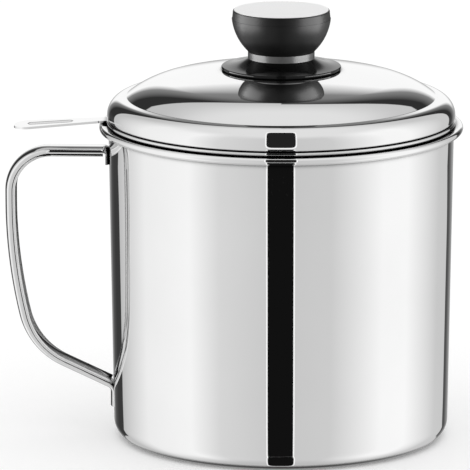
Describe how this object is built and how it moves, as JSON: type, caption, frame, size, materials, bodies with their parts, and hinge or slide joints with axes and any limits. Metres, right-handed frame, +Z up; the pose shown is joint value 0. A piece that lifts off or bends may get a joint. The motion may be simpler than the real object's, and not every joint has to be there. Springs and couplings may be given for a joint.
{
  "type": "bacon grease container",
  "caption": "Stainless grease pot: round cup with a channel handle, lift-out strainer with a strip handle, domed lid with a black knob.",
  "frame": {"origin": "centre of the cup's flat base, on the surface it rests on", "axes": "+Z up along the pot's axis; both handles point to -X; the pot is mirror-symmetric about the XZ plane"},
  "size_m": [0.1576, 0.125, 0.149],
  "materials": {
    "polished_steel": "mirror-polished stainless steel",
    "mesh_steel": "woven stainless wire",
    "knob_black": "glossy black phenolic moulding",
    "collar_metal": "turned bright metal",
    "disc_metal": "fine satin",
    "insert_brass": "turned",
    "screw_steel": "plated steel"
  },
  "bodies": {
    "cup": {"cup_body": "polished_steel", "cup_handle": "polished_steel"},
    "strainer": {"strainer_pan": "polished_steel", "strainer_mesh": "mesh_steel", "mesh_retaining_ring": "polished_steel", "strainer_handle": "polished_steel"},
    "lid": {"lid_shell": "polished_steel", "knob_skirt": "knob_black", "knob_collar": "collar_metal", "knob_grip": "knob_black", "knob_top_disc": "disc_metal", "knob_insert": "insert_brass", "knob_screw": "screw_steel", "screw_washer": "screw_steel"}
  },
  "joints": [
    {"name": "strainer_lift", "type": "slide", "parent": "cup", "child": "strainer", "axis": [0, 0, 1], "range_m": [0, 0.06]},
    {"name": "lid_lift", "type": "slide", "parent": "strainer", "child": "lid", "axis": [0, 0, 1], "range_m": [0, 0.05]}
  ]
}
